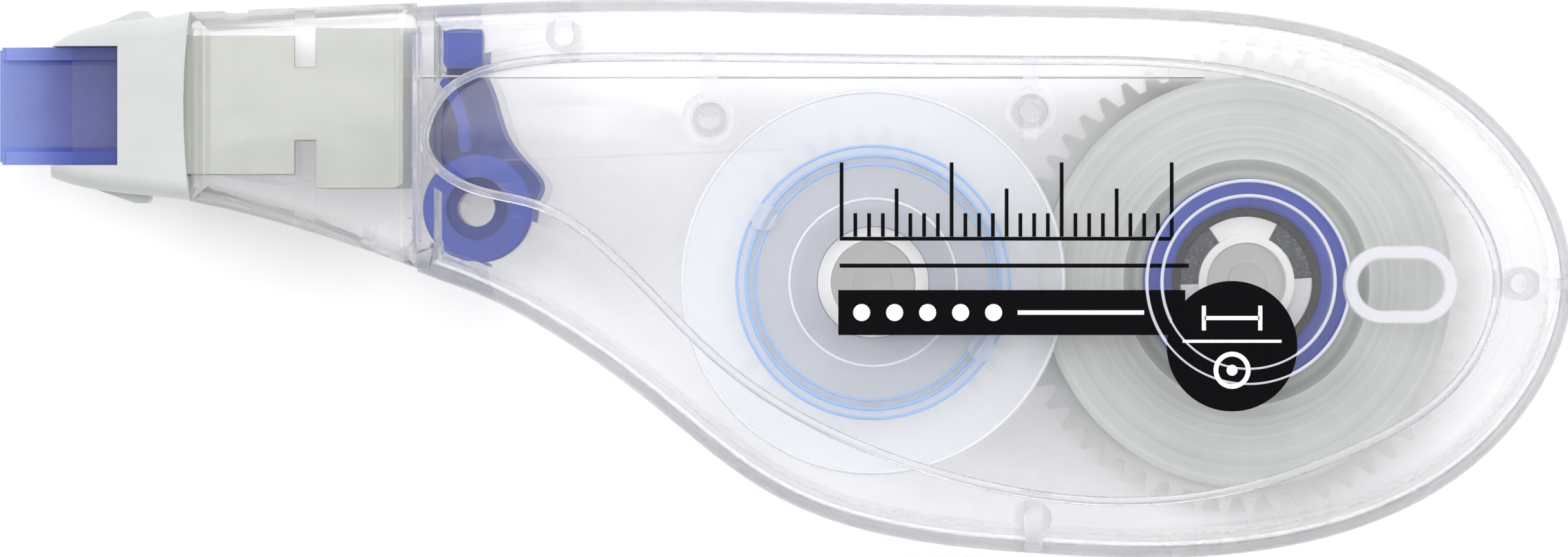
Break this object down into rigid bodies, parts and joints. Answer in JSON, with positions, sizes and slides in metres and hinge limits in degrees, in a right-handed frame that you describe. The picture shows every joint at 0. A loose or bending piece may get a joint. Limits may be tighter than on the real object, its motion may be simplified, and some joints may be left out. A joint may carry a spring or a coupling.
{
  "type": "correction tape roller",
  "caption": "Clear flat hand-held correction tape dispenser: geared supply and take-up reels, slip clutch, tape guide, return roller and wedge tip.",
  "frame": {"origin": "middle of the footprint on the plane that the rear case rests on", "axes": "+X along the length to the rounded tail, -X to the tip; +Z out of the front case; +Y to the straight upper edge"},
  "size_m": [0.115, 0.0408, 0.015],
  "materials": {
    "clear_case": "clear moulded polystyrene",
    "light_grey": "satin moulded ABS",
    "translucent_blue": "translucent blue, smooth",
    "blue": "blue moulded plastic",
    "gear_white": "natural off-white acetal",
    "dark_grey": "dark grey plastic",
    "black_rubber": "black rubber",
    "roll_dark": "edges of the wound leader film",
    "roll_grey": "edges of the wound coated tape",
    "pale_blue": "pale blue translucent plastic",
    "milky": "milky translucent plastic",
    "liner": "release liner, tan at its edges",
    "coated": "white correction coating on liner"
  },
  "bodies": {
    "housing": {"rear_case": "clear_case", "front_case": "clear_case", "neck_sleeve": "clear_case", "head_collar": "light_grey", "head_carrier": "light_grey", "applicator_tip": "translucent_blue", "tape_guide": "blue", "coated_tape": "coated", "return_liner": "liner"},
    "supply_drive": {"supply_gear": "gear_white", "clutch_plate": "dark_grey", "drag_ring": "black_rubber"},
    "supply_reel": {"supply_core": "blue", "end_leader": "roll_dark", "supply_roll": "roll_grey"},
    "takeup_reel": {"takeup_gear": "gear_white", "takeup_drum": "pale_blue", "takeup_flange": "milky", "wound_liner": "liner"},
    "roller": {"return_roller": "blue"}
  },
  "joints": [
    {"name": "supply_spin", "type": "hinge", "parent": "housing", "child": "supply_drive", "pos_m": [0.0338, -0.0003, 0.0075], "axis": [0, 0, 1], "continuous": true},
    {"name": "core_slip", "type": "hinge", "parent": "supply_drive", "child": "supply_reel", "pos_m": [0.0338, -0.0003, 0.0075], "axis": [0, 0, 1], "continuous": true},
    {"name": "takeup_spin", "type": "hinge", "parent": "housing", "child": "takeup_reel", "pos_m": [0.0065, -0.0003, 0.0075], "axis": [0, 0, 1], "continuous": true},
    {"name": "roller_spin", "type": "hinge", "parent": "housing", "child": "roller", "pos_m": [-0.0224, 0.0051, 0.0075], "axis": [0, 0, 1], "continuous": true}
  ],
  "couplings": [
    {"joint": "takeup_spin", "follows": "supply_spin", "ratio": -1.5278},
    {"joint": "roller_spin", "follows": "supply_spin", "ratio": -4.5455}
  ]
}
